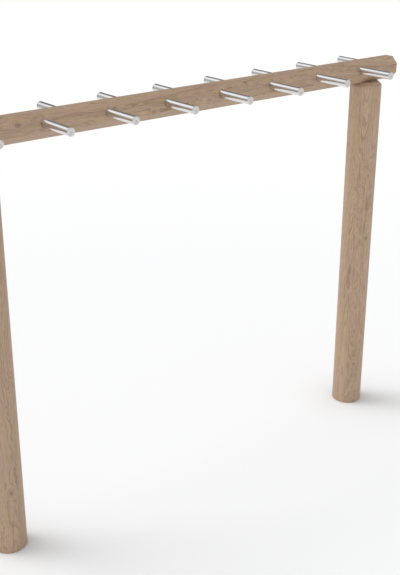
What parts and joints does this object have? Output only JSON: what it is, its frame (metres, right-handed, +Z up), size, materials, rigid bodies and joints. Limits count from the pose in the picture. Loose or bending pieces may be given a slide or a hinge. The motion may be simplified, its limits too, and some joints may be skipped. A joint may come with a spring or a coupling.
{
  "type": "overhead peg beam",
  "caption": "Playground overhead beam on round timber posts, with staggered steel hand pegs standing out of both sides for crossing hand over hand.",
  "frame": {"origin": "on the ground midway between the two posts, under the middle of the beam", "axes": "+X along the beam towards the post that stands further from the picture's camera, +Y across the beam away from the camera, +Z up"},
  "size_m": [2.838, 0.55, 2.178],
  "materials": {
    "beam_wood": "planed pale timber, dry and unpainted",
    "post_wood": "round milled pale timber, dry and unpainted",
    "plug_wood": "planed pale timber, its grain along the beam's",
    "polished_steel": "polished stainless steel",
    "satin_steel": "satin stainless steel",
    "zinc": "zinc plated"
  },
  "bodies": {
    "root": {"beam": "beam_wood", "post_left": "post_wood", "post_right": "post_wood", "near_peg_1": "polished_steel", "near_peg_2": "polished_steel", "near_peg_3": "polished_steel", "near_peg_4": "polished_steel", "near_peg_5": "polished_steel", "near_peg_6": "polished_steel", "near_peg_7": "polished_steel", "near_peg_8": "polished_steel", "far_peg_1": "polished_steel", "far_peg_2": "polished_steel", "far_peg_3": "polished_steel", "far_peg_4": "polished_steel", "far_peg_5": "polished_steel", "far_peg_6": "polished_steel", "far_peg_7": "polished_steel", "far_peg_8": "polished_steel", "near_cap_1": "satin_steel", "near_cap_2": "satin_steel", "near_cap_3": "satin_steel", "near_cap_4": "satin_steel", "near_cap_5": "satin_steel", "near_cap_6": "satin_steel", "near_cap_7": "satin_steel", "near_cap_8": "satin_steel", "far_cap_1": "satin_steel", "far_cap_2": "satin_steel", "far_cap_3": "satin_steel", "far_cap_4": "satin_steel", "far_cap_5": "satin_steel", "far_cap_6": "satin_steel", "far_cap_7": "satin_steel", "far_cap_8": "satin_steel", "near_lock_screws": "zinc", "far_lock_screws": "zinc", "coach_screws": "zinc", "coach_washers": "zinc", "cover_plugs": "plug_wood"}
  },
  "joints": []
}
